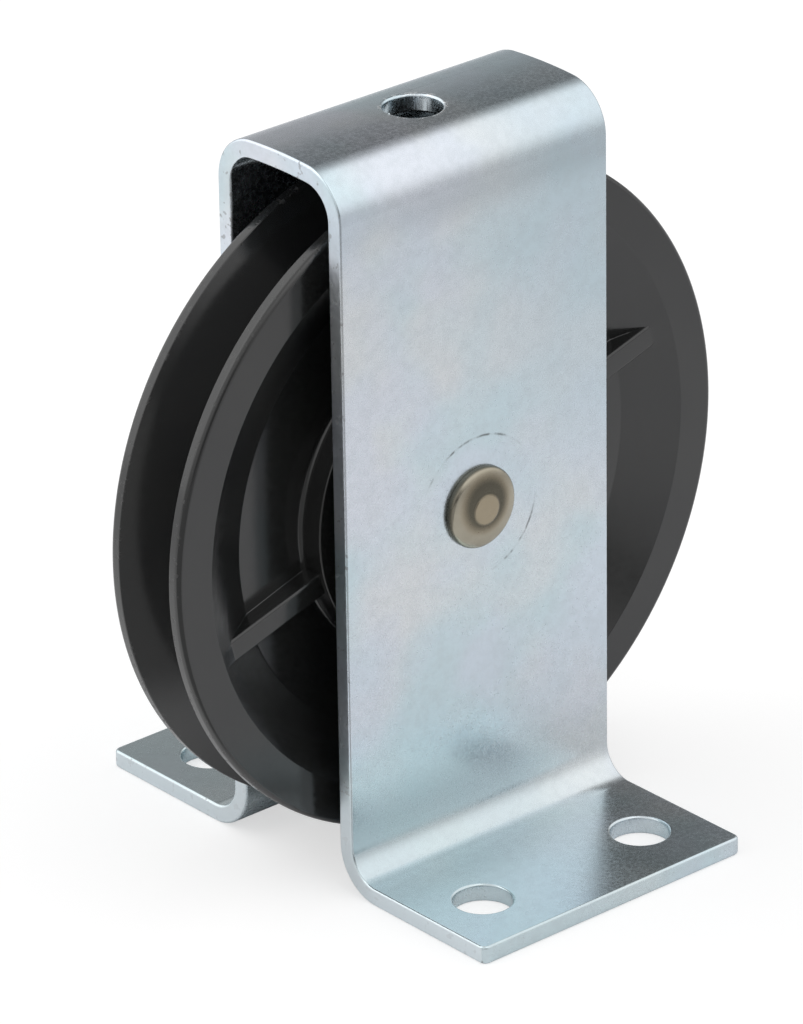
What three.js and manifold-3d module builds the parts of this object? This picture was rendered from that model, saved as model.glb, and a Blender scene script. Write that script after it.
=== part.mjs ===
// Single sheave block: one grooved sheave on a ball bearing, held in a folded steel
// bracket that bolts down through two feet. Millimetres, +Z up.
// Origin: middle of the bracket's footprint, on the plane that the feet stand on.
// X runs across the steel strip, Y along the axle; the near leg is at -Y, the far leg at +Y.

import * as THREE from "three";
import { mergeVertices } from "three/addons/utils/BufferGeometryUtils.js";
import Module from "manifold-3d";

const wasm = await Module();
wasm.setup();

// ---- Driving dimensions ----

const SHEAVE_DIAMETER = 100;
const AXLE_HEIGHT = 53;

const STRIP_WIDTH = 49;
const STRIP_THICKNESS = 2.75;
const BRACKET_HEIGHT = 109.5;
const BRACKET_SPAN = 26;          // over the outsides of the two legs
const FOOT_REACH = 41;            // from the middle plane to the tip of a foot
const BEND_INSIDE = 4.6;          // inside radius of all four bends
const BOLT_HOLE_DIAMETER = 8.5;
const BOLT_SPACING = 30;          // between the two holes of one foot
const BOLT_LINE = 30;             // from the middle plane to the holes of a foot

const RIM_WIDTH = 14.8;
const SPOKE_COUNT = 4;
const SPOKE_ANGLE = 17;           // degrees above +X of the first spoke

const RIVET_DIAMETER = 8;
const BEARING_BORE = 15;
const BEARING_OUTSIDE = 35;
const BEARING_WIDTH = 11;
const BALL_COUNT = 8;
const BALL_DIAMETER = 5.95;

// ---- Dimensions that follow ----

const DEGREE = Math.PI / 180;
const HALF_SPAN = BRACKET_SPAN / 2;
const LEG_INSIDE = HALF_SPAN - STRIP_THICKNESS;
const SHEAVE_RADIUS = SHEAVE_DIAMETER / 2;
const RIVET_RADIUS = RIVET_DIAMETER / 2;
const BORE_RADIUS = BEARING_BORE / 2;
const BEARING_RADIUS = BEARING_OUTSIDE / 2;
const BEARING_HALF = BEARING_WIDTH / 2;
const BALL_RADIUS = BALL_DIAMETER / 2;
const BALL_PITCH_RADIUS = (BORE_RADIUS + BEARING_RADIUS) / 2;

const SEAT_GAP = 0.04;            // round a piece that is pressed or clamped in place
const RUN_GAP = 0.1;              // round a piece that turns or slides on another
const SHEAVE_STEPS = 60;          // facets in a full turn
const BEARING_STEPS = 48;
const AXLE_STEPS = 36;
const BEND_STEPS = 5;             // facets in a quarter bend of the bracket

// ---- Materials ----

const zincSteel = { color: 0xb4bcc4, roughness: 0.35, metalness: 0.9 };
const blackNylon = { color: 0x1c1d1f, roughness: 0.5, metalness: 0 };
const rivetMetal = { color: 0xa39b8a, roughness: 0.22, metalness: 1 };
const bearingSteel = { color: 0x9a9da1, roughness: 0.18, metalness: 1 };
const cageNylon = { color: 0xd8d2bf, roughness: 0.55, metalness: 0 };

// ---- Shape helpers ----

function piece(name, geometry, finish) {
  const mesh = new THREE.Mesh(geometry, new THREE.MeshStandardMaterial(finish));
  mesh.name = name;
  return mesh;
}

// A closed outline of [radius, y] corners, turned about the axle.
function turned(corners, steps) {
  const outline = corners.map(([radius, y]) => new THREE.Vector2(radius, y));
  const startsOnAxis = corners[0][0] === 0;
  if (!startsOnAxis) {
    outline.push(outline[0].clone());
  }
  return new THREE.LatheGeometry(outline, steps);
}

// A plain ring between two radii and two places along the axle.
function ring(insideRadius, outsideRadius, lowY, highY, steps) {
  return turned([
    [insideRadius, lowY], [outsideRadius, lowY], [outsideRadius, highY], [insideRadius, highY],
  ], steps);
}

// Corners along an arc in the [radius, y] plane, from one angle to another in degrees.
function arc(centreRadius, centreY, arcRadius, fromAngle, toAngle, count) {
  return Array.from({ length: count + 1 }, (_, step) => {
    const angle = THREE.MathUtils.lerp(fromAngle, toAngle, step / count) * DEGREE;
    return [centreRadius + arcRadius * Math.cos(angle), centreY + arcRadius * Math.sin(angle)];
  });
}

function mirrored(corners) {
  return corners.map(([radius, y]) => [radius, -y]).reverse();
}

function solidOf(geometry) {
  const bare = geometry.clone();
  bare.deleteAttribute("normal");
  bare.deleteAttribute("uv");
  const merged = mergeVertices(bare);
  return new wasm.Manifold(new wasm.Mesh({
    numProp: 3,
    vertProperties: new Float32Array(merged.attributes.position.array),
    triVerts: new Uint32Array(merged.index.array),
  }));
}

function geometryOf(solid) {
  const { vertProperties, triVerts } = solid.getMesh();
  const geometry = new THREE.BufferGeometry();
  geometry.setAttribute("position", new THREE.BufferAttribute(vertProperties, 3));
  geometry.setIndex(new THREE.BufferAttribute(triVerts, 1));
  geometry.computeVertexNormals();
  return geometry;
}

// ---- Bracket: one strip folded into an upside-down U with a foot turned out on each side ----

const BEND_OUTSIDE = BEND_INSIDE + STRIP_THICKNESS;

// The strip seen along X, as [Y, Z]: the upper skin from the near foot over to the far one,
// then the lower skin back. Both skins share the centres of the four bends.
function stripOutline() {
  const footBendY = HALF_SPAN + BEND_INSIDE;
  const footBendZ = BEND_OUTSIDE;
  const topBendY = HALF_SPAN - BEND_OUTSIDE;
  const topBendZ = BRACKET_HEIGHT - BEND_OUTSIDE;
  const bends = [
    { y: -footBendY, z: footBendZ, from: -90, to: 0, upper: BEND_INSIDE, lower: BEND_OUTSIDE },
    { y: -topBendY, z: topBendZ, from: 180, to: 90, upper: BEND_OUTSIDE, lower: BEND_INSIDE },
    { y: topBendY, z: topBendZ, from: 90, to: 0, upper: BEND_OUTSIDE, lower: BEND_INSIDE },
    { y: footBendY, z: footBendZ, from: 180, to: 270, upper: BEND_INSIDE, lower: BEND_OUTSIDE },
  ];
  const outline = new THREE.Shape();
  outline.moveTo(-FOOT_REACH, STRIP_THICKNESS);
  for (const bend of bends) {
    const clockwise = bend.to < bend.from;
    outline.absarc(bend.y, bend.z, bend.upper, bend.from * DEGREE, bend.to * DEGREE, clockwise);
  }
  outline.lineTo(FOOT_REACH, STRIP_THICKNESS);
  outline.lineTo(FOOT_REACH, 0);
  for (const bend of bends.reverse()) {
    const clockwise = bend.from < bend.to;
    outline.absarc(bend.y, bend.z, bend.lower, bend.to * DEGREE, bend.from * DEGREE, clockwise);
  }
  outline.lineTo(-FOOT_REACH, 0);
  outline.closePath();
  return outline;
}

function foldedStrip() {
  const strip = new THREE.ExtrudeGeometry(stripOutline(), {
    depth: STRIP_WIDTH,
    bevelEnabled: false,
    curveSegments: BEND_STEPS,
  });
  const alongX = new THREE.Matrix4().makeBasis(
    new THREE.Vector3(0, 1, 0),
    new THREE.Vector3(0, 0, 1),
    new THREE.Vector3(1, 0, 0),
  );
  strip.applyMatrix4(alongX);
  strip.translate(-STRIP_WIDTH / 2, 0, 0);
  return strip;
}

function drill(diameter, length) {
  return new THREE.CylinderGeometry(diameter / 2, diameter / 2, length, AXLE_STEPS);
}

function verticalDrill(x, y, z) {
  return drill(BOLT_HOLE_DIAMETER, 4 * STRIP_THICKNESS).rotateX(Math.PI / 2).translate(x, y, z);
}

function bracketGeometry() {
  const holes = [
    verticalDrill(0, 0, BRACKET_HEIGHT),
    drill(RIVET_DIAMETER + 2 * RUN_GAP, 2 * BRACKET_SPAN).translate(0, 0, AXLE_HEIGHT),
  ];
  for (const side of [-1, 1]) {
    for (const end of [-1, 1]) {
      holes.push(verticalDrill(end * BOLT_SPACING / 2, side * BOLT_LINE, 0));
    }
  }
  let bracket = solidOf(foldedStrip());
  for (const hole of holes) {
    bracket = bracket.subtract(solidOf(hole));
  }
  return geometryOf(bracket);
}

// ---- Sheave: a V-grooved rim, a thin web with spokes on both sides, and a bearing housing ----

const RIM_HALF = RIM_WIDTH / 2;
const RIM_EDGE = 0.8;             // chamfer at the outer corners of the rim
const GROOVE_MOUTH_HALF = 5.4;
const FLANK_ANGLE = 26;           // degrees, of the groove's flanks and of the rim's back
const FLANK_SLOPE = Math.tan(FLANK_ANGLE * DEGREE);
const GROOVE_BOTTOM_ROUND = 2;
const SIDE_RING_INSIDE = 44;      // inner radius of the flat ring on each side of the rim
const RECESS_FOOT_RADIUS = 35.9;  // where the rim's sloping back meets the web
const HOUSING_RADIUS = 24.2;
const HOUSING_DRAFT = 0.3;
const HOUSING_HALF = 7;
const HOUSING_EDGE = 0.5;
const WEB_HALF_AT_HOUSING = 3.2;
const HOUSING_LIP_RADIUS = 15.2;
const SPOKE_THICKNESS = 3.6;
const SPOKE_HALF = 6.15;
const SPOKE_ROOT = 0.5;           // how deep a spoke's outer end is sunk into the rim

function grooveCorners() {
  const reach = GROOVE_BOTTOM_ROUND / Math.cos(FLANK_ANGLE * DEGREE);
  const roundCentre = SHEAVE_RADIUS - (GROOVE_MOUTH_HALF - reach) / FLANK_SLOPE;
  return [
    [SHEAVE_RADIUS, -GROOVE_MOUTH_HALF],
    ...arc(roundCentre, 0, GROOVE_BOTTOM_ROUND, 270 - FLANK_ANGLE, 90 + FLANK_ANGLE, 6),
    [SHEAVE_RADIUS, GROOVE_MOUTH_HALF],
  ];
}

// One side face, from the housing out to the rim, as seen on the -Y side.
function sideCorners() {
  const recessFootHalf = RIM_HALF - (SIDE_RING_INSIDE - RECESS_FOOT_RADIUS) * FLANK_SLOPE;
  return [
    [HOUSING_RADIUS - HOUSING_EDGE, -HOUSING_HALF],
    [HOUSING_RADIUS, -HOUSING_HALF + HOUSING_EDGE],
    [HOUSING_RADIUS + HOUSING_DRAFT, -WEB_HALF_AT_HOUSING],
    [RECESS_FOOT_RADIUS, -recessFootHalf],
    [SIDE_RING_INSIDE, -RIM_HALF],
    [SHEAVE_RADIUS - RIM_EDGE, -RIM_HALF],
    [SHEAVE_RADIUS, -RIM_HALF + RIM_EDGE],
  ];
}

function sheaveGeometry() {
  const seatRadius = BEARING_RADIUS + SEAT_GAP;
  const body = turned([
    [seatRadius, -HOUSING_HALF],
    ...sideCorners(),
    ...grooveCorners(),
    ...mirrored(sideCorners()),
    [HOUSING_LIP_RADIUS, HOUSING_HALF],
    [HOUSING_LIP_RADIUS, BEARING_HALF + SEAT_GAP],
    [seatRadius, BEARING_HALF + SEAT_GAP],
  ], SHEAVE_STEPS);
  const spokeInside = (seatRadius + HOUSING_RADIUS) / 2;
  const spokeOutside = SIDE_RING_INSIDE - (RIM_HALF - SPOKE_HALF) / FLANK_SLOPE + SPOKE_ROOT;
  let sheave = solidOf(body);
  for (let index = 0; index < SPOKE_COUNT; index += 1) {
    const angle = (SPOKE_ANGLE + index * 360 / SPOKE_COUNT) * DEGREE;
    const spoke = new THREE.BoxGeometry(spokeOutside - spokeInside, 2 * SPOKE_HALF, SPOKE_THICKNESS);
    spoke.translate((spokeInside + spokeOutside) / 2, 0, 0);
    spoke.rotateY(-angle);
    sheave = sheave.add(solidOf(spoke));
  }
  return geometryOf(sheave);
}

// ---- Axle: a rivet through a hard sleeve, with a spacer ring on each side of the bearing ----

// The formed end as [radius, height over the leg]: a button on a low dome with a rounded edge.
const FORMED_HEAD = [
  [0, 1.75], [1.9, 1.73], [2.3, 1.6], [2.9, 1.57], [4, 1.42], [5.2, 1.15], [5.7, 0.95], [6, 0.7],
  [6.1, 0.4], [6.1, 0],
];
const MADE_HEAD_RADIUS = 7.2;
const MADE_HEAD_HEIGHT = 2.4;
const SPACER_OUTSIDE_RADIUS = 10.5;

function rivetGeometry() {
  const face = HALF_SPAN + SEAT_GAP;
  const domeRadius = (MADE_HEAD_RADIUS ** 2 + MADE_HEAD_HEIGHT ** 2) / (2 * MADE_HEAD_HEIGHT);
  const domeAngle = Math.asin(MADE_HEAD_RADIUS / domeRadius) / DEGREE;
  const dome = arc(0, face + MADE_HEAD_HEIGHT - domeRadius, domeRadius, 90 - domeAngle, 90, 6);
  dome.at(-1)[0] = 0;
  return turned([
    ...FORMED_HEAD.map(([radius, height]) => [radius, -face - height]),
    [RIVET_RADIUS, -face],
    [RIVET_RADIUS, face],
    ...dome,
  ], AXLE_STEPS);
}

function sleeveGeometry() {
  const end = LEG_INSIDE - SEAT_GAP;
  return ring(RIVET_RADIUS + RUN_GAP, BORE_RADIUS - SEAT_GAP, -end, end, AXLE_STEPS);
}

function spacerGeometry(side) {
  const ends = [side * (BEARING_HALF + SEAT_GAP), side * (LEG_INSIDE - SEAT_GAP)];
  const [lowY, highY] = ends.sort((a, b) => a - b);
  return ring(BORE_RADIUS + SEAT_GAP, SPACER_OUTSIDE_RADIUS, lowY, highY, AXLE_STEPS);
}

// ---- Ball bearing: two grooved rings, caged balls and a metal shield on each side ----

const RACE_RADIUS = BALL_RADIUS + 1.2 * RUN_GAP;
const SHOULDER_OFFSET = 1.8;      // of a ring's shoulder from the pitch circle
const RING_CHAMFER = 0.6;
const SHIELD_SEAT_RADIUS = 15.7;
const SHIELD_THICKNESS = 0.7;
const SHIELD_OUTER_FACE = 5.25;
const CAGE_INSIDE = 11.3;
const CAGE_OUTSIDE = 13.7;
const CAGE_HALF = 3.9;
const POCKET_RADIUS = BALL_RADIUS + 2 * RUN_GAP;
const POCKET_STEPS = 16;

const RACE_OPENING = Math.acos(SHOULDER_OFFSET / RACE_RADIUS) / DEGREE;

function outerRingGeometry() {
  const shoulder = BALL_PITCH_RADIUS + SHOULDER_OFFSET;
  const seatFace = SHIELD_OUTER_FACE - SHIELD_THICKNESS - SEAT_GAP;
  return turned([
    [SHIELD_SEAT_RADIUS, -BEARING_HALF],
    [BEARING_RADIUS - RING_CHAMFER, -BEARING_HALF],
    [BEARING_RADIUS, -BEARING_HALF + RING_CHAMFER],
    [BEARING_RADIUS, BEARING_HALF - RING_CHAMFER],
    [BEARING_RADIUS - RING_CHAMFER, BEARING_HALF],
    [SHIELD_SEAT_RADIUS, BEARING_HALF],
    [SHIELD_SEAT_RADIUS, seatFace],
    [shoulder, seatFace],
    ...arc(BALL_PITCH_RADIUS, 0, RACE_RADIUS, RACE_OPENING, -RACE_OPENING, 6),
    [shoulder, -seatFace],
    [SHIELD_SEAT_RADIUS, -seatFace],
  ], BEARING_STEPS);
}

function innerRingGeometry() {
  const shoulder = BALL_PITCH_RADIUS - SHOULDER_OFFSET;
  return turned([
    [BORE_RADIUS, -BEARING_HALF + RING_CHAMFER],
    [BORE_RADIUS + RING_CHAMFER, -BEARING_HALF],
    [shoulder, -BEARING_HALF],
    ...arc(BALL_PITCH_RADIUS, 0, RACE_RADIUS, 180 + RACE_OPENING, 180 - RACE_OPENING, 6),
    [shoulder, BEARING_HALF],
    [BORE_RADIUS + RING_CHAMFER, BEARING_HALF],
    [BORE_RADIUS, BEARING_HALF - RING_CHAMFER],
  ], BEARING_STEPS);
}

function shieldGeometry(side) {
  const faces = [side * (SHIELD_OUTER_FACE - SHIELD_THICKNESS), side * SHIELD_OUTER_FACE];
  const [lowY, highY] = faces.sort((a, b) => a - b);
  const insideRadius = BALL_PITCH_RADIUS - SHOULDER_OFFSET + 1.5 * RUN_GAP;
  return ring(insideRadius, SHIELD_SEAT_RADIUS - SEAT_GAP, lowY, highY, BEARING_STEPS);
}

function ballAngle(index) {
  return index * 360 / BALL_COUNT * DEGREE;
}

function ball(index) {
  const mesh = piece(`bearing_ball_${index + 1}`, new THREE.SphereGeometry(BALL_RADIUS, 12, 8), bearingSteel);
  mesh.position.x = BALL_PITCH_RADIUS * Math.cos(ballAngle(index));
  mesh.position.z = BALL_PITCH_RADIUS * Math.sin(ballAngle(index));
  return mesh;
}

function cageGeometry() {
  let cage = solidOf(ring(CAGE_INSIDE, CAGE_OUTSIDE, -CAGE_HALF, CAGE_HALF, BEARING_STEPS));
  for (let index = 0; index < BALL_COUNT; index += 1) {
    const pocket = new THREE.CylinderGeometry(POCKET_RADIUS, POCKET_RADIUS, BALL_DIAMETER, POCKET_STEPS);
    pocket.rotateZ(Math.PI / 2);
    pocket.translate(BALL_PITCH_RADIUS, 0, 0);
    pocket.rotateY(-ballAngle(index));
    cage = cage.subtract(solidOf(pocket));
  }
  return geometryOf(cage);
}

// ---- Assembly ----

const onAxle = new THREE.Group();
onAxle.position.z = AXLE_HEIGHT;
onAxle.add(
  piece("sheave", sheaveGeometry(), blackNylon),
  piece("axle_rivet", rivetGeometry(), rivetMetal),
  piece("axle_sleeve", sleeveGeometry(), bearingSteel),
  piece("near_spacer_ring", spacerGeometry(-1), zincSteel),
  piece("far_spacer_ring", spacerGeometry(1), zincSteel),
  piece("bearing_outer_ring", outerRingGeometry(), bearingSteel),
  piece("bearing_inner_ring", innerRingGeometry(), bearingSteel),
  piece("near_bearing_shield", shieldGeometry(-1), zincSteel),
  piece("far_bearing_shield", shieldGeometry(1), zincSteel),
  piece("bearing_cage", cageGeometry(), cageNylon),
);
for (let index = 0; index < BALL_COUNT; index += 1) {
  onAxle.add(ball(index));
}

const block = new THREE.Group();
block.add(piece("bracket", bracketGeometry(), zincSteel), onAxle);

export default block;
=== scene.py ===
"""Single sheave block: fine visible meshes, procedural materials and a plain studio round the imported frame.

Metres, +Z up, the frame's own axes: X across the strip, Y along the axle, the near leg at -Y.
"""

import math

import bmesh
import bpy
from mathutils import Matrix, Vector


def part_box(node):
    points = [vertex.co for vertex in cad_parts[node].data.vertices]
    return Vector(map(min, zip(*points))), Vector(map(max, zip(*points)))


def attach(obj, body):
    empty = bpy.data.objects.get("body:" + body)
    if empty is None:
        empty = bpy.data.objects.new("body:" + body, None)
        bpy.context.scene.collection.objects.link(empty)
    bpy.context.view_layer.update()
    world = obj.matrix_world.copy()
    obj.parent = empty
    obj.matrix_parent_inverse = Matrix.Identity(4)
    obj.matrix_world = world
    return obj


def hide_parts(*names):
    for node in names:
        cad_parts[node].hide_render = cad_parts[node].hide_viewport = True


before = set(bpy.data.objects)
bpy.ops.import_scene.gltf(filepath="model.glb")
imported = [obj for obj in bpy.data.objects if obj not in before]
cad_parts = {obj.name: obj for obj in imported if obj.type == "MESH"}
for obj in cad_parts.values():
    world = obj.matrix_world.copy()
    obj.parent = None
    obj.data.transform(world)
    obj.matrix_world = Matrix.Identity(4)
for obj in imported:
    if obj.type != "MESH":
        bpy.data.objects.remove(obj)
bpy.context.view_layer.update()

MM = 0.001

# ---- Places and sizes that come from the frame ----

_, BRACKET_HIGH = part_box("bracket")
SHEAVE_LOW, SHEAVE_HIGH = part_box("sheave")
RIVET_LOW, RIVET_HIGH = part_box("axle_rivet")

STRIP_HALF_WIDTH = BRACKET_HIGH.x
BRACKET_TOP = BRACKET_HIGH.z
FOOT_REACH = BRACKET_HIGH.y
SHEAVE_RADIUS = SHEAVE_HIGH.x
RIM_HALF = SHEAVE_HIGH.y
AXLE = Vector((0, 0, (SHEAVE_LOW.z + SHEAVE_HIGH.z) / 2))

# ---- Sizes of the sheet-metal strip ----

STRIP_THICKNESS = 2.75 * MM
LEG_OUTSIDE = 13 * MM
BEND_INSIDE = 4.6 * MM
TOP_BEND_TURN = 86               # degrees; the bridge is crowned over the rest
BOLT_HOLE_RADIUS = 4.25 * MM
BOLT_HALF_SPACING = 15 * MM
BOLT_LINE = 30 * MM
AXLE_HOLE_RADIUS = 4.1 * MM
BEND_STEPS = 24
HOLE_STEPS = 96
FOOT_CORNER_ROUND = 1.1 * MM
CUT_EDGE_ROUND = 0.4 * MM
FOOT_DROOP = 0.06                # slope, shown by the shading alone

# ---- Sizes of the moulded sheave ----

GROOVE_MOUTH_HALF = 5.4 * MM
FLANK_ANGLE = math.radians(26)
SIDE_RING_INSIDE = 44 * MM
RECESS_FOOT_RADIUS = 35.9 * MM
HOUSING_RADIUS = 24.2 * MM
HOUSING_FOOT_RADIUS = 24.5 * MM
HOUSING_HALF = 7 * MM
WEB_HALF_AT_HOUSING = 3.2 * MM
SEAT_RADIUS = 17.54 * MM
LIP_RADIUS = 15.2 * MM
LIP_INNER_FACE = 5.54 * MM
SPOKE_COUNT = 4
SPOKE_ANGLE = math.radians(17)
SPOKE_HALF = 6.15 * MM
SPOKE_TOP_HALF_WIDTH = 1.75 * MM
SPOKE_ROOT_RADIUS = 22 * MM       # inside the housing's wall
SPOKE_BURY = 1.2 * MM            # how far a spoke's end runs into the rim
SPOKE_LEAST_HEIGHT = 1.2 * MM    # where the web rises towards the spoke's edge
SHEAVE_STEPS = 360

# ---- Sizes of the rivet ----

RIVET_FACE = LEG_OUTSIDE + 0.04 * MM
SHANK_RADIUS = 4 * MM
RIVET_STEPS = 120
DOME_STEPS = 24
# The formed head from its edge in to the button's middle: radius and height over the leg, in mm.
FORMED_HEAD = [
    (6.1, 0.4), (5.98, 0.72), (5.65, 0.98), (5.2, 1.15), (4.6, 1.3), (4.0, 1.42), (3.4, 1.52), (2.9, 1.57),
    (2.55, 1.58), (2.25, 1.66), (1.9, 1.73), (0.0, 1.75),
]


# ---- The studio's camera ----

CAMERA_AZIMUTH = math.radians(-40.66)
CAMERA_ELEVATION = math.radians(25.36)
CAMERA_ROLL = math.radians(-0.90)
CAMERA_DISTANCE = 0.9757
CAMERA_AIM = Vector((-0.0068, -0.0042, 0.0512))
CAMERA_LENS = 243.9
CAMERA_SENSOR = 36


# ---- Mesh helpers ----

def new_object(name, mesh):
    piece = bpy.data.objects.new(name, mesh)
    bpy.context.scene.collection.objects.link(piece)
    return piece


def mesh_object(name, points, faces):
    mesh = bpy.data.meshes.new(name)
    mesh.from_pydata([tuple(point) for point in points], [], faces)
    mesh.validate()
    return new_object(name, mesh)


def apply_modifiers(piece):
    depsgraph = bpy.context.evaluated_depsgraph_get()
    done = bpy.data.meshes.new_from_object(piece.evaluated_get(depsgraph))
    piece.modifiers.clear()
    piece.data = done


def smooth(piece, sharp_angle=40):
    """Smooth shading that keeps big faces flat, but for edges that turn by more than the given degrees."""
    mesh = piece.data
    mesh.polygons.foreach_set("use_smooth", [True] * len(mesh.polygons))
    mesh.set_sharp_from_angle(angle=math.radians(sharp_angle))
    mesh.update()
    flat_faces = piece.modifiers.new("flat_faces", "WEIGHTED_NORMAL")
    flat_faces.weight = 100
    flat_faces.keep_sharp = True


def combine(piece, other, operation):
    """Adds the other mesh to the piece, or cuts it away, and deletes the other."""
    modifier = piece.modifiers.new("combine", "BOOLEAN")
    modifier.object = other
    modifier.operation = operation
    modifier.solver = "EXACT"
    apply_modifiers(piece)
    bpy.data.objects.remove(other)


def rounded(corners, steps=6):
    """Points of a closed outline whose corners (a, b, radius) are rounded by arcs."""
    points = []
    for index, (a, b, radius) in enumerate(corners):
        here = Vector((a, b))
        before = Vector(corners[index - 1][:2])
        after = Vector(corners[(index + 1) % len(corners)][:2])
        if radius == 0:
            points.append(here)
            continue
        into = (here - before).normalized()
        out = (after - here).normalized()
        turn = into.angle_signed(out)
        reach = radius * math.tan(abs(turn) / 2)
        start = here - into * reach
        side = math.copysign(1, turn)
        centre = start + Vector((into.y, -into.x)) * radius * side
        arm = start - centre
        for step in range(steps + 1):
            swing = Matrix.Rotation(-turn * step / steps, 2)
            points.append(centre + swing @ arm)
    return points


def turned(name, outline, steps):
    """A solid turned about the axle from a closed outline of (radius, y) points."""
    points = []
    for step in range(steps):
        angle = 2 * math.pi * step / steps
        for radius, y in outline:
            points.append((radius * math.cos(angle), y, AXLE.z + radius * math.sin(angle)))
    count = len(outline)
    faces = []
    for step in range(steps):
        for index in range(count):
            here = step * count + index
            beside = step * count + (index + 1) % count
            ahead = ((step + 1) % steps) * count + index
            ahead_beside = ((step + 1) % steps) * count + (index + 1) % count
            faces.append((here, ahead, ahead_beside, beside))
    return mesh_object(name, points, faces)


def face_out(piece):
    shape = bmesh.new()
    shape.from_mesh(piece.data)
    bmesh.ops.remove_doubles(shape, verts=shape.verts, dist=1e-7)
    bmesh.ops.recalc_face_normals(shape, faces=shape.faces)
    shape.to_mesh(piece.data)
    shape.free()


# ---- Bracket ----

def arc_points(centre, radius, start, end, steps):
    points = []
    for step in range(steps + 1):
        angle = math.radians(start + (end - start) * step / steps)
        points.append((centre[0] + radius * math.cos(angle), centre[1] + radius * math.sin(angle)))
    return points


def crown_points(end):
    """The bridge's skin between the top bends: a shallow crown that starts at the bends' slope."""
    slope = math.tan(math.radians(90 - TOP_BEND_TURN))
    reach, height = end
    steps = 16
    points = []
    for step in range(1, steps):
        y = reach * (2 * step / steps - 1)
        points.append((y, height + slope * (reach ** 2 - y ** 2) / (2 * reach)))
    return points


def strip_outline():
    """The folded strip seen along X, as (y, z): over the upper skin, then back under the lower one."""
    bend_outside = BEND_INSIDE + STRIP_THICKNESS
    foot = LEG_OUTSIDE + BEND_INSIDE
    top = LEG_OUTSIDE - bend_outside
    top_z = BRACKET_TOP - bend_outside
    crown_start = 180 - TOP_BEND_TURN
    # Each bend: centre, start and end angle, radius of the upper skin, radius of the lower skin.
    near_foot = ((-foot, bend_outside), -90, 0, BEND_INSIDE, bend_outside)
    near_top = ((-top, top_z), 180, crown_start, bend_outside, BEND_INSIDE)
    far_top = ((top, top_z), 180 - crown_start, 0, bend_outside, BEND_INSIDE)
    far_foot = ((foot, bend_outside), 180, 270, BEND_INSIDE, bend_outside)
    tilt = math.radians(90 - TOP_BEND_TURN)
    crown_end = (top + bend_outside * math.sin(tilt), top_z + bend_outside * math.cos(tilt))
    lower_end = (top + BEND_INSIDE * math.sin(tilt), top_z + BEND_INSIDE * math.cos(tilt))

    def upper(bend):
        centre, start, end, radius, _ = bend
        return arc_points(centre, radius, start, end, BEND_STEPS)

    def lower_back(bend):
        centre, start, end, _, radius = bend
        return arc_points(centre, radius, start, end, BEND_STEPS)[::-1]

    points = [(-FOOT_REACH, STRIP_THICKNESS)]
    points += upper(near_foot) + upper(near_top)
    points += crown_points(crown_end)
    points += upper(far_top) + upper(far_foot)
    points += [(FOOT_REACH, STRIP_THICKNESS), (FOOT_REACH, 0)]
    points += lower_back(far_foot) + lower_back(far_top)
    points += crown_points(lower_end)[::-1]
    points += lower_back(near_top) + lower_back(near_foot)
    points.append((-FOOT_REACH, 0))
    return points


def prism(name, outline, low, high, place):
    """A solid between two copies of an outline; place turns (a, b, depth) into a point."""
    count = len(outline)
    points = [place(a, b, low) for a, b in outline] + [place(a, b, high) for a, b in outline]
    faces = [tuple(range(count)), tuple(range(2 * count - 1, count - 1, -1))]
    for index in range(count):
        beside = (index + 1) % count
        faces.append((index, index + count, beside + count, beside))
    piece = mesh_object(name, points, faces)
    face_out(piece)
    return piece


def circle(a, b, radius, steps=HOLE_STEPS):
    return arc_points((a, b), radius, 0, 360 * (steps - 1) / steps, steps - 1)


def vertical(a, b, depth):
    return (a, b, depth)


def along_axle(a, b, depth):
    return (a, depth, b)


def corner_cutter(side, end):
    """The sliver outside the rounded plan corner of a foot."""
    x = end * STRIP_HALF_WIDTH
    y = side * FOOT_REACH
    inset = FOOT_CORNER_ROUND
    over = 1 * MM
    outline = [(x + end * over, y - side * inset), (x + end * over, y + side * over),
               (x - end * inset, y + side * over)]
    centre = (x - end * inset, y - side * inset)
    steps = 8
    for step in range(steps + 1):
        angle = math.pi / 2 * (1 - step / steps)
        across = centre[0] + end * inset * math.cos(angle)
        along = centre[1] + side * inset * math.sin(angle)
        outline.append((across, along))
    return prism("corner_cutter", outline, -over, STRIP_THICKNESS + over, vertical)


def build_bracket():
    width = STRIP_HALF_WIDTH
    bracket = prism("bracket_fine", strip_outline(), -width, width, lambda a, b, depth: (depth, a, b))
    clear = 2 * STRIP_THICKNESS
    cutters = [
        prism("hole", circle(0, 0, BOLT_HOLE_RADIUS), BRACKET_TOP - clear, BRACKET_TOP + clear, vertical),
        prism("hole", circle(0, AXLE.z, AXLE_HOLE_RADIUS), -2 * LEG_OUTSIDE, 2 * LEG_OUTSIDE, along_axle),
    ]
    for side in (-1, 1):
        for end in (-1, 1):
            hole = circle(end * BOLT_HALF_SPACING, side * BOLT_LINE, BOLT_HOLE_RADIUS)
            cutters.append(prism("hole", hole, -clear, clear, vertical))
            cutters.append(corner_cutter(side, end))
    for cutter in cutters:
        combine(bracket, cutter, "DIFFERENCE")
    edge = bracket.modifiers.new("cut_edges", "BEVEL")
    edge.limit_method = "ANGLE"
    edge.angle_limit = math.radians(50)
    edge.width = CUT_EDGE_ROUND
    edge.segments = 3
    edge.use_clamp_overlap = False
    apply_modifiers(bracket)
    smooth(bracket, 35)
    return bracket


# ---- Sheave ----

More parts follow.
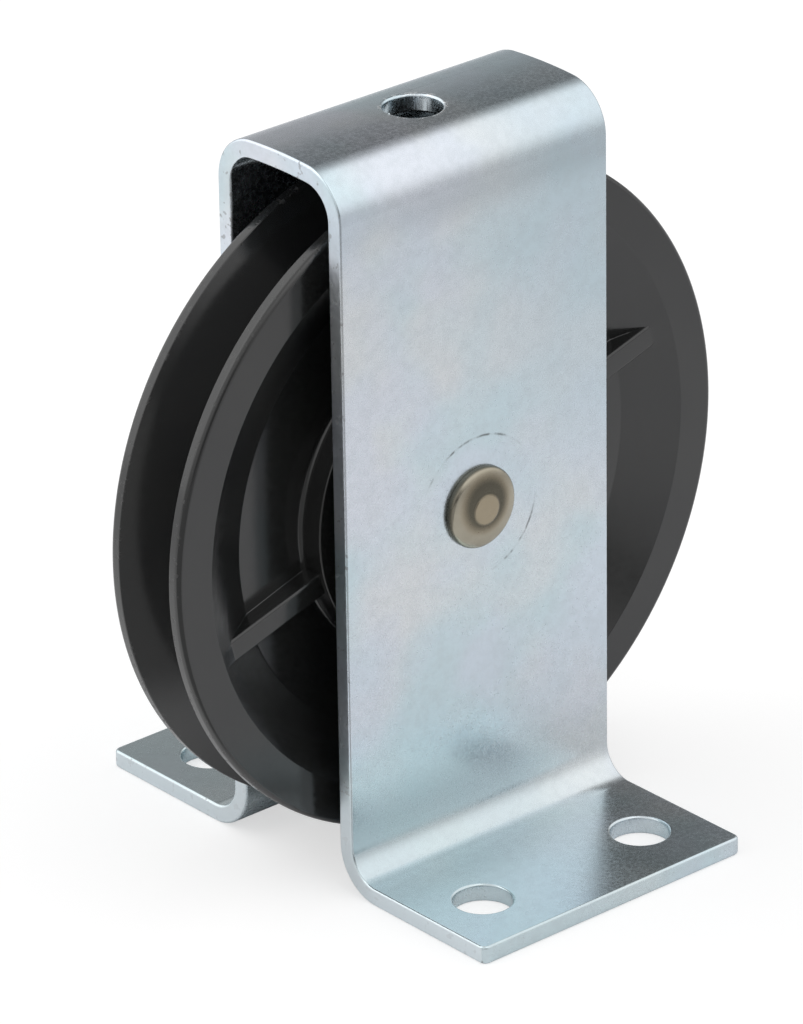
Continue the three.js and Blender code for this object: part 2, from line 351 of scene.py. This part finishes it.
def side_corners():
    """Half of the sheave's section, from the housing's face out to the rim, on the -Y side."""
    recess_foot_half = RIM_HALF - (SIDE_RING_INSIDE - RECESS_FOOT_RADIUS) * math.tan(FLANK_ANGLE)
    return [
        (HOUSING_RADIUS, -HOUSING_HALF, 0.35 * MM),
        (HOUSING_FOOT_RADIUS, -WEB_HALF_AT_HOUSING, 0.9 * MM),
        (RECESS_FOOT_RADIUS, -recess_foot_half, 0.5 * MM),
        (SIDE_RING_INSIDE, -RIM_HALF, 0.3 * MM),
        (SHEAVE_RADIUS, -RIM_HALF, 0.9 * MM),
        (SHEAVE_RADIUS, -GROOVE_MOUTH_HALF, 0.25 * MM),
    ]


def sheave_outline():
    near = side_corners()
    far = [(radius, -y, corner_round) for radius, y, corner_round in reversed(near)]
    groove_apex = SHEAVE_RADIUS - GROOVE_MOUTH_HALF / math.tan(FLANK_ANGLE)
    return rounded([
        (SEAT_RADIUS, -HOUSING_HALF, 0.3 * MM),
        *near,
        (groove_apex, 0, 2 * MM),
        *far,
        (LIP_RADIUS, HOUSING_HALF, 0.4 * MM),
        (LIP_RADIUS, LIP_INNER_FACE, 0),
        (SEAT_RADIUS, LIP_INNER_FACE, 0),
    ])


def web_half(radius):
    """Half thickness of the web at a radius between the housing and the recess's foot."""
    recess_foot_half = RIM_HALF - (SIDE_RING_INSIDE - RECESS_FOOT_RADIUS) * math.tan(FLANK_ANGLE)
    share = (radius - HOUSING_FOOT_RADIUS) / (RECESS_FOOT_RADIUS - HOUSING_FOOT_RADIUS)
    inner = WEB_HALF_AT_HOUSING + (recess_foot_half - WEB_HALF_AT_HOUSING) * share
    if radius <= RECESS_FOOT_RADIUS:
        return inner
    return recess_foot_half + (radius - RECESS_FOOT_RADIUS) * math.tan(FLANK_ANGLE)


def spoke_section(base):
    """Half-section of a spoke as (half width, height over the middle plane), from its root up."""
    flare = 0.22 * MM
    edge = 0.45 * MM
    draft = 0.06 * MM
    steps = 5
    points = [(SPOKE_TOP_HALF_WIDTH + draft + flare, base - 1.0 * MM)]
    for step in range(steps + 1):
        angle = math.pi / 2 * step / steps
        points.append((SPOKE_TOP_HALF_WIDTH + draft + flare * (1 - math.sin(angle)),
                       base - 0.03 * MM + flare * (1 - math.cos(angle))))
    for step in range(steps + 1):
        angle = math.pi / 2 * step / steps
        points.append((SPOKE_TOP_HALF_WIDTH - edge * (1 - math.cos(angle)),
                       SPOKE_HALF - edge * (1 - math.sin(angle))))
    return points


def build_spoke(angle, side):
    """One spoke on one side, from inside the housing's wall to inside the rim."""
    start = SPOKE_ROOT_RADIUS
    meets_rim = SIDE_RING_INSIDE - (RIM_HALF - SPOKE_HALF) * math.tan(math.radians(90) - FLANK_ANGLE)
    end = meets_rim + SPOKE_BURY
    stations = 24
    points = []
    outline_count = 0
    for station in range(stations + 1):
        radius = start + (end - start) * station / stations
        base = min(web_half(max(radius, HOUSING_FOOT_RADIUS)), SPOKE_HALF - SPOKE_LEAST_HEIGHT)
        half = spoke_section(base)
        outline = [(width, height) for width, height in half]
        outline += [(-width, height) for width, height in reversed(half)]
        outline_count = len(outline)
        for width, height in outline:
            x = radius * math.cos(angle) - width * math.sin(angle)
            z = radius * math.sin(angle) + width * math.cos(angle)
            points.append((x, side * height, AXLE.z + z))
    faces = [tuple(range(outline_count))]
    last = stations * outline_count
    faces.append(tuple(range(last + outline_count - 1, last - 1, -1)))
    for station in range(stations):
        for index in range(outline_count):
            here = station * outline_count + index
            beside = station * outline_count + (index + 1) % outline_count
            faces.append((here, beside, beside + outline_count, here + outline_count))
    spoke = mesh_object("spoke", points, faces)
    face_out(spoke)
    return spoke


def build_sheave():
    sheave = turned("sheave_fine", sheave_outline(), SHEAVE_STEPS)
    face_out(sheave)
    for index in range(SPOKE_COUNT):
        angle = SPOKE_ANGLE + 2 * math.pi * index / SPOKE_COUNT
        for side in (-1, 1):
            combine(sheave, build_spoke(angle, side), "UNION")
    smooth(sheave, 30)
    return sheave


# ---- Rivet ----

def curve_through(corners, steps=6):
    """Points of a smooth curve that runs through the given ones."""
    spots = [Vector(corner) for corner in corners]
    padded = [spots[0], *spots, spots[-1]]
    points = []
    for index in range(len(spots) - 1):
        before, start, end, after = padded[index:index + 4]
        bend = 2 * before - 5 * start + 4 * end - after
        twist = 3 * start - before - 3 * end + after
        for step in range(steps):
            t = step / steps
            points.append((2 * start + (end - before) * t + bend * t ** 2 + twist * t ** 3) / 2)
    points.append(spots[-1])
    return points


def build_rivet():
    """The rivet: a formed head with a low ring and a button on the near leg, a dome on the far one."""
    far = RIVET_HIGH.y
    dome = (RIVET_HIGH.x - RIVET_LOW.x) / 2
    rise = far - RIVET_FACE
    ball = (dome ** 2 + rise ** 2) / (2 * rise)
    spread = math.degrees(math.asin(dome / ball))
    outline = arc_points((0, far - ball), ball, 90 - spread, 90, DOME_STEPS)[:-1]
    outline += [(0, far)]
    for radius, height in curve_through(FORMED_HEAD)[::-1]:
        outline.append((radius * MM, -RIVET_FACE - height * MM))
    outline += [(FORMED_HEAD[0][0] * MM, -RIVET_FACE)]
    outline += [(SHANK_RADIUS, -RIVET_FACE), (SHANK_RADIUS, RIVET_FACE)]
    rivet = turned("axle_rivet_fine", outline, RIVET_STEPS)
    face_out(rivet)
    smooth(rivet, 35)
    return rivet


# ---- Materials ----

def new_material(name):
    material = bpy.data.materials.new(name)
    material.use_nodes = True
    material.node_tree.nodes.clear()
    return material, Nodes(material.node_tree)


class Nodes:
    """Short calls for the shader nodes that the materials are made of."""

    def __init__(self, tree):
        self.tree = tree

    def add(self, kind, settings=None, **inputs):
        node = self.tree.nodes.new(kind)
        for name, value in (settings or {}).items():
            setattr(node, name, value)
        for name, value in inputs.items():
            self.feed(node.inputs[name.replace("_", " ")], value)
        return node

    def feed(self, socket, value):
        if isinstance(value, bpy.types.NodeSocket):
            self.tree.links.new(value, socket)
        else:
            socket.default_value = value

    def math(self, operation, *values):
        node = self.tree.nodes.new("ShaderNodeMath")
        node.operation = operation
        for socket, value in zip(node.inputs, values):
            self.feed(socket, value)
        return node.outputs[0]

    def noise(self, vector, scale, detail=2.0, roughness=0.5):
        node = self.add("ShaderNodeTexNoise", Vector=vector, Scale=scale, Detail=detail, Roughness=roughness)
        return node.outputs["Fac"]

    def shifted(self, vector, step):
        node = self.add("ShaderNodeVectorMath", {"operation": "ADD"})
        self.feed(node.inputs[0], vector)
        self.feed(node.inputs[1], step)
        return node.outputs["Vector"]

    def span(self, value, low, high, to_low, to_high):
        """Maps a value from one range smoothly on to another, and holds it there."""
        node = self.add("ShaderNodeMapRange", {"interpolation_type": "SMOOTHSTEP"}, Value=value)
        for name, number in (("From Min", low), ("From Max", high), ("To Min", to_low), ("To Max", to_high)):
            self.feed(node.inputs[name], number)
        return node.outputs["Result"]

    def blend(self, share, first, second):
        node = self.tree.nodes.new("ShaderNodeMix")
        node.data_type = "RGBA"
        self.feed(node.inputs["Factor"], share)
        colours = [socket for socket in node.inputs if socket.type == "RGBA"]
        self.feed(colours[0], first)
        self.feed(colours[1], second)
        return next(socket for socket in node.outputs if socket.type == "RGBA")

    def split(self, vector):
        """The x, y and z of a vector."""
        return self.add("ShaderNodeSeparateXYZ", Vector=vector).outputs[:]

    def line(self, value, place, half_width):
        """1 where a value is at a place, fading to 0 within the half width."""
        away = self.math("ABSOLUTE", self.math("SUBTRACT", value, place))
        return self.span(away, 0, half_width, 1, 0)

    def along(self, vector, direction):
        """How far a place lies along a direction."""
        node = self.add("ShaderNodeVectorMath", {"operation": "DOT_PRODUCT"})
        self.feed(node.inputs[0], vector)
        self.feed(node.inputs[1], direction)
        return node.outputs["Value"]

    def off_axle(self, vector):
        """Distance from the axle's line."""
        x, _, z = self.split(vector)
        height = self.math("SUBTRACT", z, AXLE.z)
        return self.length(x, height)

    def length(self, first, second):
        """Length of a flat vector with the given parts."""
        squares = self.math("ADD", self.math("POWER", first, 2.0), self.math("POWER", second, 2.0))
        return self.math("SQRT", squares)

    def bump(self, height, distance, strength=1.0, normal=None):
        node = self.add("ShaderNodeBump", Height=height, Distance=distance, Strength=strength)
        if normal is not None:
            self.feed(node.inputs["Normal"], normal)
        return node.outputs["Normal"]

    def finish(self, **inputs):
        surface = self.add("ShaderNodeBsdfPrincipled", **inputs)
        output = self.tree.nodes.new("ShaderNodeOutputMaterial")
        self.tree.links.new(surface.outputs[0], output.inputs["Surface"])


def place_of(nodes):
    return nodes.add("ShaderNodeTexCoord").outputs["Object"]


def turn_about_axle(nodes, place):
    """Angle about the axle in degrees, from +X towards +Z."""
    x, _, z = nodes.split(place)
    angle = nodes.math("ARCTAN2", nodes.math("SUBTRACT", z, AXLE.z), x)
    return nodes.math("MULTIPLY", angle, 180 / math.pi)


def rubbed_arcs(nodes, place):
    """Thin broken rub marks round the rivet, on the near leg's outer face only."""
    _, y, _ = nodes.split(place)
    leg_face = nodes.line(y, -LEG_OUTSIDE, 0.3 * MM)
    angle = turn_about_axle(nodes, place)
    upper = nodes.line(angle, 97, 62)
    lower = nodes.line(angle, -42, 37)
    where = nodes.math("POWER", nodes.math("MAXIMUM", upper, lower), 0.4)
    broken = nodes.span(nodes.noise(place, 300, 3, 0.7), 0.42, 0.58, 0.1, 0.9)
    off_centre = nodes.shifted(place, (0.15 * MM, 0, 0.1 * MM))
    mark = nodes.line(nodes.off_axle(off_centre), 10.8 * MM, 0.28 * MM)
    for share in (leg_face, where, broken):
        mark = nodes.math("MULTIPLY", mark, share)
    return mark


def punched_burr(nodes, place):
    """Small bright burrs round the upper mouth of the bridge's hole."""
    x, y, z = nodes.split(place)
    mouth = nodes.line(nodes.length(x, y), BOLT_HOLE_RADIUS + 0.35 * MM, 0.55 * MM)
    top = nodes.span(z, BRACKET_TOP - 0.8 * MM, BRACKET_TOP - 0.5 * MM, 0, 1)
    specks = nodes.span(nodes.noise(place, 1100, 2), 0.52, 0.60, 0, 0.8)
    return nodes.math("MULTIPLY", nodes.math("MULTIPLY", mouth, top), specks)


def zinc_material():
    """Bright zinc plating: pale blue-grey clouds, finely mottled, worn at the edges, with painted shade by
    the bends and over parts of the plate, and painted light on the low cut faces.

    The feet are square. Their shading alone leans by FOOT_DROOP, as if they drooped a little.
    """
    material, nodes = new_material("zinc_plate")
    place = place_of(nodes)
    x, y, z = nodes.split(place)
    cloud = nodes.noise(place, 45, 2)
    tint = nodes.noise(nodes.shifted(place, (7, 0, 0)), 60, 2)
    mottle = nodes.noise(place, 650, 3, 0.6)
    grain = nodes.noise(place, 1900, 2, 0.5)

    base = nodes.blend(nodes.span(cloud, 0.38, 0.62, 0, 1), (0.66, 0.79, 0.84, 1), (0.78, 0.81, 0.83, 1))
    base = nodes.blend(nodes.span(tint, 0.42, 0.62, 0, 0.6), base, (0.74, 0.79, 0.89, 1))
    # Painted reflection shade: the plate is darkened towards the upper right and the lower left, where it
    # reflects darker surroundings.
    right = nodes.span(x, -10 * MM, 20 * MM, 0, 1)
    high_right = nodes.math("MULTIPLY", right, nodes.span(z, 35 * MM, 70 * MM, 0, 0.6))
    base = nodes.blend(high_right, base, (0.60, 0.72, 0.79, 1))
    middle = nodes.span(x, 4 * MM, 20 * MM, 1, 0.3)
    low_left = nodes.math("MULTIPLY", middle, nodes.span(z, 4 * MM, 30 * MM, 0.75, 0))
    base = nodes.blend(low_left, base, (0.63, 0.735, 0.76, 1))
    # Painted shade: dark bands along the low bend and the top bend, where the plate's reflection turns dark.
    low_fold_shade = nodes.math("MULTIPLY", middle, nodes.line(z, 10 * MM, 8 * MM))
    top_share = nodes.span(x, -24 * MM, -5 * MM, 0.3, 0.75)
    top_fold_shade = nodes.math("MULTIPLY", top_share, nodes.line(z, 101 * MM, 5 * MM))
    fold_shade = nodes.math("MULTIPLY", nodes.math("ADD", low_fold_shade, top_fold_shade), 0.4)
    base = nodes.blend(fold_shade, base, (0.28, 0.33, 0.35, 1))
    base = nodes.blend(nodes.span(mottle, 0.35, 0.7, 0, 0.2), base, (0.50, 0.55, 0.58, 1))
    base = nodes.blend(rubbed_arcs(nodes, place), base, (0.10, 0.10, 0.095, 1))

    off_middle = nodes.math("ABSOLUTE", x)
    cut_face = nodes.span(off_middle, STRIP_HALF_WIDTH - 0.12 * MM, STRIP_HALF_WIDTH - 0.02 * MM, 0, 1)
    cut_edge = nodes.line(off_middle, STRIP_HALF_WIDTH - 0.1 * MM, 0.3 * MM)
    chips = nodes.math("MULTIPLY", cut_edge, nodes.span(nodes.noise(place, 800, 2), 0.62, 0.7, 0, 0.7))
    base = nodes.blend(chips, base, (0.30, 0.30, 0.30, 1))
    # Painted reflection: the cut faces low down, at the feet and lower bends, are lightened as if they
    # reflected the bright floor beside them.
    painted_low_cut_light = nodes.math("MULTIPLY", cut_face, nodes.span(z, 8 * MM, 20 * MM, 0.7, 0))
    base = nodes.blend(painted_low_cut_light, base, (0.80, 0.86, 0.89, 1))
    burr = punched_burr(nodes, place)
    base = nodes.blend(burr, base, (0.95, 0.97, 0.98, 1))

    rough = nodes.math("ADD", nodes.span(grain, 0.3, 0.7, 0.0, 0.08), nodes.span(cloud, 0.3, 0.7, 0.19, 0.23))
    rough = nodes.math("ADD", rough, nodes.math("MULTIPLY", chips, 0.3))
    rough = nodes.math("ADD", rough, nodes.math("MULTIPLY", cut_face, 0.14))
    normal = nodes.bump(grain, 0.005 * MM, 0.5)
    normal = nodes.bump(mottle, 0.005 * MM, 0.5, normal)
    normal = nodes.bump(burr, 0.06 * MM, 0.8, normal)
    normal = nodes.bump(nodes.noise(place, 40, 1), 0.05 * MM, 0.5, normal)
    inward = nodes.math("SUBTRACT", LEG_OUTSIDE + BEND_INSIDE, nodes.math("ABSOLUTE", y))
    normal = nodes.bump(nodes.math("MINIMUM", 0.0, inward), FOOT_DROOP, 1.0, normal)
    nodes.finish(Base_Color=base, Metallic=1.0, Roughness=rough, Normal=normal)
    return material


def nylon_material():
    """Black moulded nylon with a satin skin and small nicks along the rim's edges."""
    material, nodes = new_material("black_nylon")
    place = place_of(nodes)
    grain = nodes.noise(place, 900, 2, 0.5)
    cloud = nodes.noise(place, 60, 3)
    share = nodes.span(cloud, 0.35, 0.65, 0, 1)
    base = nodes.blend(share, (0.012, 0.0125, 0.013, 1), (0.016, 0.0165, 0.016, 1))

    outer_edge = nodes.line(nodes.off_axle(place), SHEAVE_RADIUS, 0.5 * MM)
    nicks = nodes.span(nodes.noise(place, 800, 2, 0.7), 0.58, 0.68, 0, 1)
    nicks = nodes.math("MULTIPLY", nicks, outer_edge)
    base = nodes.blend(nicks, base, (0.03, 0.03, 0.03, 1))

    rough = nodes.math("ADD", nodes.span(cloud, 0.3, 0.7, 0.13, 0.17), nodes.span(grain, 0.3, 0.7, 0, 0.04))
    rough = nodes.math("ADD", rough, nodes.math("MULTIPLY", nicks, 0.3))
    normal = nodes.bump(grain, 0.006 * MM, 0.5)
    normal = nodes.bump(nodes.math("SUBTRACT", 1.0, nicks), 0.03 * MM, 0.6, normal)
    nodes.finish(Base_Color=base, Roughness=rough, Normal=normal, IOR=1.69)
    return material


def rivet_material():
    """Polished, warm grey rivet with a brown stain, and painted shade round its button and down its edge."""
    material, nodes = new_material("rivet_metal")
    place = place_of(nodes)
    _, y, _ = nodes.split(place)
    cloud = nodes.noise(place, 500, 3)
    worn = nodes.noise(place, 1600, 2)
    radius = nodes.off_axle(place)
    base = nodes.blend(cloud, (0.37, 0.34, 0.27, 1), (0.46, 0.425, 0.345, 1))
    off_button = nodes.span(radius, 2.0 * MM, 2.5 * MM, 0, 1)
    # The shifted centre serves the brown stain and the painted shade: a dark ring round the button, widest
    # above it, for the dark surroundings that the head's upper face reflects.
    stain_and_shade_centre = nodes.shifted(place, (0, 0, -0.85 * MM))
    off_stain_and_shade = nodes.off_axle(stain_and_shade_centre)
    base = nodes.blend(nodes.span(off_stain_and_shade, 3.6 * MM, 5.2 * MM, 0.6, 0), base, (0.36, 0.29, 0.19, 1))
    shade_spread = nodes.span(off_stain_and_shade, 2.9 * MM, 4.9 * MM, 0.92, 0)
    ring = nodes.math("MULTIPLY", off_button, shade_spread)
    # Painted shade on the head's side wall, which reflects dark surroundings.
    edge = nodes.span(radius, 5.8 * MM, 6.05 * MM, 0, 0.85)
    painted_shade = nodes.math("MULTIPLY", nodes.math("MAXIMUM", ring, edge), nodes.span(y, 0, -5 * MM, 0, 1))
    base = nodes.blend(painted_shade, base, (0.10, 0.095, 0.075, 1))
    rough = nodes.math("ADD", nodes.span(cloud, 0.3, 0.7, 0.12, 0.18), nodes.span(worn, 0.4, 0.7, 0, 0.08))
    rough = nodes.math("ADD", rough, nodes.math("MULTIPLY", painted_shade, 0.12))
    normal = nodes.bump(worn, 0.004 * MM, 0.5)
    nodes.finish(Base_Color=base, Metallic=1.0, Roughness=rough, Normal=normal)
    return material


def steel_material():
    """Ground bearing steel."""
    material, nodes = new_material("bearing_steel")
    place = place_of(nodes)
    cloud = nodes.noise(place, 700, 3)
    base = nodes.blend(cloud, (0.5, 0.5, 0.5, 1), (0.6, 0.6, 0.61, 1))
    rough = nodes.span(cloud, 0.3, 0.7, 0.15, 0.28)
    turning_rate = 40000.0           # radians per metre, so that the grinding marks are 0.16 mm apart
    turning = nodes.math("SINE", nodes.math("MULTIPLY", nodes.off_axle(place), turning_rate))
    normal = nodes.bump(turning, 0.001 * MM, 0.4)
    nodes.finish(Base_Color=base, Metallic=1.0, Roughness=rough, Normal=normal)
    return material


def cage_material():
    """Natural moulded nylon."""
    material, nodes = new_material("cage_nylon")
    place = place_of(nodes)
    cloud = nodes.noise(place, 300, 3)
    base = nodes.blend(cloud, (0.6, 0.55, 0.42, 1), (0.7, 0.66, 0.54, 1))
    normal = nodes.bump(nodes.noise(place, 1400, 2), 0.01 * MM, 0.5)
    nodes.finish(Base_Color=base, Roughness=nodes.span(cloud, 0.3, 0.7, 0.4, 0.55), Normal=normal)
    return material


def dress(piece, material):
    piece.data.materials.clear()
    piece.data.materials.append(material)


# ---- Studio ----

def floor_material():
    """Plain pale floor to the camera.

    Reflections see it bright behind the object on the left, dark at the front left, and darker further away.
    """
    material, nodes = new_material("floor")
    place = nodes.add("ShaderNodeNewGeometry").outputs["Position"]
    x, y, _ = nodes.split(place)
    away = nodes.add("ShaderNodeVectorMath", {"operation": "LENGTH"})
    nodes.feed(away.inputs[0], place)
    distance = away.outputs["Value"]
    front = nodes.span(y, -35 * MM, -12 * MM, 1, 0)
    behind = nodes.math("SUBTRACT", 1.0, front)
    behind_left = nodes.math("MULTIPLY", nodes.span(x, -62 * MM, -34 * MM, 1, 0), behind)
    behind_left = nodes.math("MULTIPLY", behind_left, nodes.span(distance, 0.13, 0.26, 1, 0.55))
    front_left = nodes.math("MULTIPLY", nodes.span(x, -46 * MM, -32 * MM, 1, 0), front)
    bounce = nodes.blend(nodes.span(distance, 0.05, 0.35, 0, 1), (0.86, 0.86, 0.87, 1), (0.61, 0.61, 0.62, 1))
    bounce = nodes.blend(behind_left, bounce, (0.86, 0.86, 0.86, 1))
    bounce = nodes.blend(front_left, bounce, (0.36, 0.36, 0.36, 1))
    glow = nodes.math("MULTIPLY", behind_left, 0.22)
    camera_ray = nodes.add("ShaderNodeLightPath").outputs["Is Camera Ray"]
    base = nodes.blend(camera_ray, bounce, (0.45, 0.45, 0.45, 1))
    own_light = nodes.span(camera_ray, 0, 1, glow, 0.6)
    nodes.finish(Base_Color=base, Roughness=0.9, Emission_Color=(1, 1, 1, 1), Emission_Strength=own_light)
    return material


def build_floor():
    size = 5
    floor = mesh_object("floor", [(-size, -size, 0), (size, -size, 0), (size, size, 0), (-size, size, 0)],
                        [(0, 1, 2, 3)])
    dress(floor, floor_material())


def lobe(nodes, direction, towards, narrow, wide):
    """1 within an angle of a direction in the sky, fading to 0 at a wider one."""
    share = nodes.along(direction, towards)
    return nodes.span(share, math.cos(math.radians(wide)), math.cos(math.radians(narrow)), 0, 1)


def sky_direction(azimuth, elevation):
    """Unit vector; azimuth 0 is +X and 90 is +Y, in degrees."""
    a = math.radians(azimuth)
    e = math.radians(elevation)
    return Vector((math.cos(a) * math.cos(e), math.sin(a) * math.cos(e), math.sin(e)))


def build_sky():
    """A grey sky with one big softbox at the front right, graded to the horizon, and softer patches.

    The camera sees plain white.
    """
    world = bpy.data.worlds.new("studio")
    world.use_nodes = True
    world.node_tree.nodes.clear()
    nodes = Nodes(world.node_tree)
    direction = nodes.add("ShaderNodeTexCoord").outputs["Generated"]
    height = nodes.split(direction)[2]
    softbox = lobe(nodes, direction, sky_direction(-45, 35), 40, 60)
    graded = nodes.math("MULTIPLY", softbox, nodes.span(height, -0.25, 0.5, 0.25, 0.74))
    level = nodes.math("ADD", 0.34, graded)
    # Azimuth, elevation, inner and outer angle, strength.
    patches = [
        (125, 30, 25, 55, 1.0),
        (-160, 50, 20, 60, 0.5),
        (46, 31, 6, 13, -0.20),
        (55, 8, 5, 18, 0.12),
        (-105, 0, 15, 40, -0.18),
    ]
    for azimuth, elevation, narrow, wide, strength in patches:
        patch = lobe(nodes, direction, sky_direction(azimuth, elevation), narrow, wide)
        level = nodes.math("ADD", level, nodes.math("MULTIPLY", patch, strength))
    camera_ray = nodes.add("ShaderNodeLightPath").outputs["Is Camera Ray"]
    other_ray = nodes.math("SUBTRACT", 1.0, camera_ray)
    shown = nodes.math("ADD", camera_ray, nodes.math("MULTIPLY", other_ray, level))
    background = nodes.add("ShaderNodeBackground", Color=(1, 1, 1, 1), Strength=shown)
    output = nodes.add("ShaderNodeOutputWorld")
    nodes.feed(output.inputs["Surface"], background.outputs[0])
    bpy.context.scene.world = world


def build_camera():
    data = bpy.data.cameras.new("camera")
    data.lens = CAMERA_LENS
    data.sensor_width = CAMERA_SENSOR
    camera = new_object("camera", data)
    flat = math.cos(CAMERA_ELEVATION)
    height = math.sin(CAMERA_ELEVATION)
    back = Vector((math.sin(CAMERA_AZIMUTH) * flat, -math.cos(CAMERA_AZIMUTH) * flat, height))
    right = Vector((math.cos(CAMERA_AZIMUTH), math.sin(CAMERA_AZIMUTH), 0))
    up = back.cross(right)
    level = Matrix((right, up, back)).transposed()
    place = Matrix.Translation(CAMERA_AIM + back * CAMERA_DISTANCE)
    camera.matrix_world = place @ level.to_4x4() @ Matrix.Rotation(CAMERA_ROLL, 4, "Z")
    bpy.context.scene.camera = camera


# ---- Assembly ----

def stand_for(piece, node, body, material):
    dress(piece, material)
    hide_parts(node)
    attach(piece, body)


zinc = zinc_material()
nylon = nylon_material()
rivet_metal = rivet_material()
bearing_steel = steel_material()
cage_nylon = cage_material()

stand_for(build_bracket(), "bracket", "bracket_and_axle", zinc)
stand_for(build_sheave(), "sheave", "sheave", nylon)
stand_for(build_rivet(), "axle_rivet", "bracket_and_axle", rivet_metal)

for name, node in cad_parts.items():
    if node.hide_render:
        continue
    smooth(node)
    if name == "bearing_cage":
        dress(node, cage_nylon)
    elif "spacer" in name or "shield" in name:
        dress(node, zinc)
    else:
        dress(node, bearing_steel)

build_floor()
build_sky()
build_camera()
bpy.context.scene.view_settings.view_transform = "Standard"
